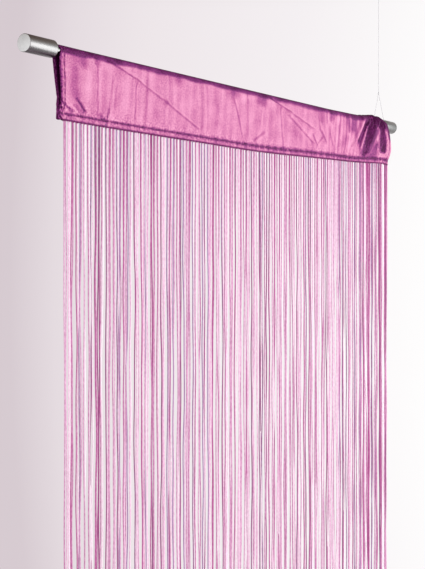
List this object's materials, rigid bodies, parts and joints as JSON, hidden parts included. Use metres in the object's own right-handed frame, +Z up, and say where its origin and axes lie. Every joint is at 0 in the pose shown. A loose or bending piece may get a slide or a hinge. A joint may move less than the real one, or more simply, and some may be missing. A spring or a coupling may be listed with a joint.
{
  "type": "string curtain with curtain rod",
  "caption": "String curtain on a thin rod: a satin sleeve heading with a long fringe of fine strings, a cylinder on each end of the rod, and a line to hang it by.",
  "frame": {"origin": "on the rod's axis, half way along it", "axes": "+X along the rod to the gathered end, +Y from the front of the curtain to its back, +Z up"},
  "size_m": [1, 0.0364, 2.7583],
  "materials": {
    "brushed_metal": "brushed, lathe turned",
    "satin": "two-tone pink and purple satin with a sheen",
    "string": "fine glossy yarn, each string its own shade from near white to magenta",
    "clear_nylon": "clear"
  },
  "bodies": {
    "root": {"rod": "brushed_metal", "finial_left": "brushed_metal", "finial_right": "brushed_metal", "heading": "satin", "string_fringe": "string", "line_sling": "clear_nylon", "line_knot": "clear_nylon", "line_riser": "clear_nylon", "line_eye_knot": "clear_nylon", "line_eye": "clear_nylon"}
  },
  "joints": []
}
